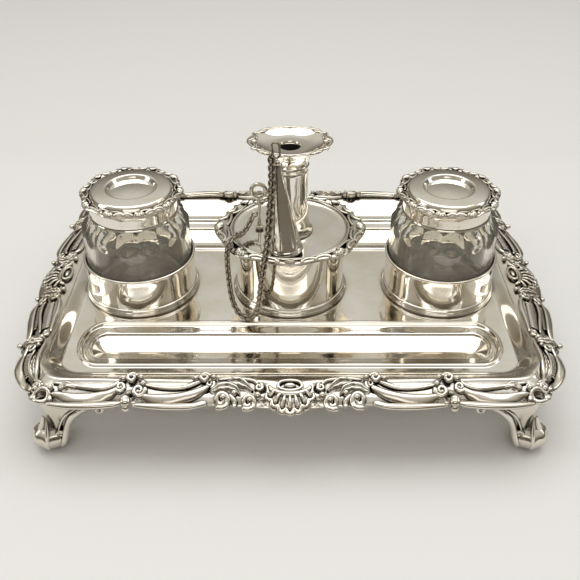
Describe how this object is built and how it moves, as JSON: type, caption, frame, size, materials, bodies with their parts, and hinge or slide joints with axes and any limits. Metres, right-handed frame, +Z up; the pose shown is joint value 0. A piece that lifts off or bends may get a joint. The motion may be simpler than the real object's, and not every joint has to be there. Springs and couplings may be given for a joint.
{
  "type": "inkstand",
  "caption": "Footed silver desk inkstand: tray with pen wells, cut-glass ink bottles with hinged lids, and a wafer pot covered by a small candlestick with a chained snuffer.",
  "frame": {"origin": "on the table under the middle of the tray", "axes": "+Z up, +X to the right along the tray's length, +Y to the rear"},
  "size_m": [0.323, 0.2384, 0.1494],
  "materials": {
    "polished_silver": "polished silver, lightly tarnished",
    "cast_silver": "cast and chased silver with dark recesses",
    "chain_silver": "oxidised silver links",
    "glass": "clear cut glass"
  },
  "bodies": {
    "stand": {"tray": "polished_silver", "border_front": "cast_silver", "border_rear": "cast_silver", "border_left": "cast_silver", "border_right": "cast_silver", "foot_front_left": "cast_silver", "foot_front_right": "cast_silver", "foot_rear_left": "cast_silver", "foot_rear_right": "cast_silver", "left_gallery": "polished_silver", "right_gallery": "polished_silver", "wafer_pot": "polished_silver"},
    "left_bottle": {"left_bottle": "glass", "left_collar": "polished_silver", "left_hinge_pin": "cast_silver"},
    "left_lid": {"left_lid": "polished_silver", "left_lid_border": "cast_silver"},
    "right_bottle": {"right_bottle": "glass", "right_collar": "polished_silver", "right_hinge_pin": "cast_silver"},
    "right_lid": {"right_lid": "polished_silver", "right_lid_border": "cast_silver"},
    "taperstick": {"taper_pan": "polished_silver", "taper_pan_border": "cast_silver", "candle_column": "polished_silver", "ring_handle": "cast_silver", "snuffer_chain": "chain_silver"},
    "nozzle": {"nozzle": "polished_silver", "nozzle_border": "cast_silver"},
    "snuffer": {"snuffer_cone": "polished_silver", "snuffer_loop": "cast_silver"}
  },
  "joints": [
    {"name": "left_bottle_lift", "type": "slide", "parent": "stand", "child": "left_bottle", "axis": [0, 0, 1], "range_m": [0, 0.03]},
    {"name": "left_lid_hinge", "type": "hinge", "parent": "left_bottle", "child": "left_lid", "pos_m": [-0.094, 0.0279, 0.1014], "axis": [-1, 0, 0], "range_deg": [0, 100]},
    {"name": "right_bottle_lift", "type": "slide", "parent": "stand", "child": "right_bottle", "axis": [0, 0, 1], "range_m": [0, 0.03]},
    {"name": "right_lid_hinge", "type": "hinge", "parent": "right_bottle", "child": "right_lid", "pos_m": [0.094, 0.0279, 0.1014], "axis": [-1, 0, 0], "range_deg": [0, 100]},
    {"name": "taperstick_lift", "type": "slide", "parent": "stand", "child": "taperstick", "axis": [0, 0, 1], "range_m": [0, 0.03]},
    {"name": "nozzle_lift", "type": "slide", "parent": "taperstick", "child": "nozzle", "axis": [0, 0, 1], "range_m": [0, 0.02]},
    {"name": "snuffer_lift", "type": "slide", "parent": "taperstick", "child": "snuffer", "axis": [0, 0, 1], "range_m": [0, 0.02], "deforming": ["snuffer_chain"]}
  ]
}
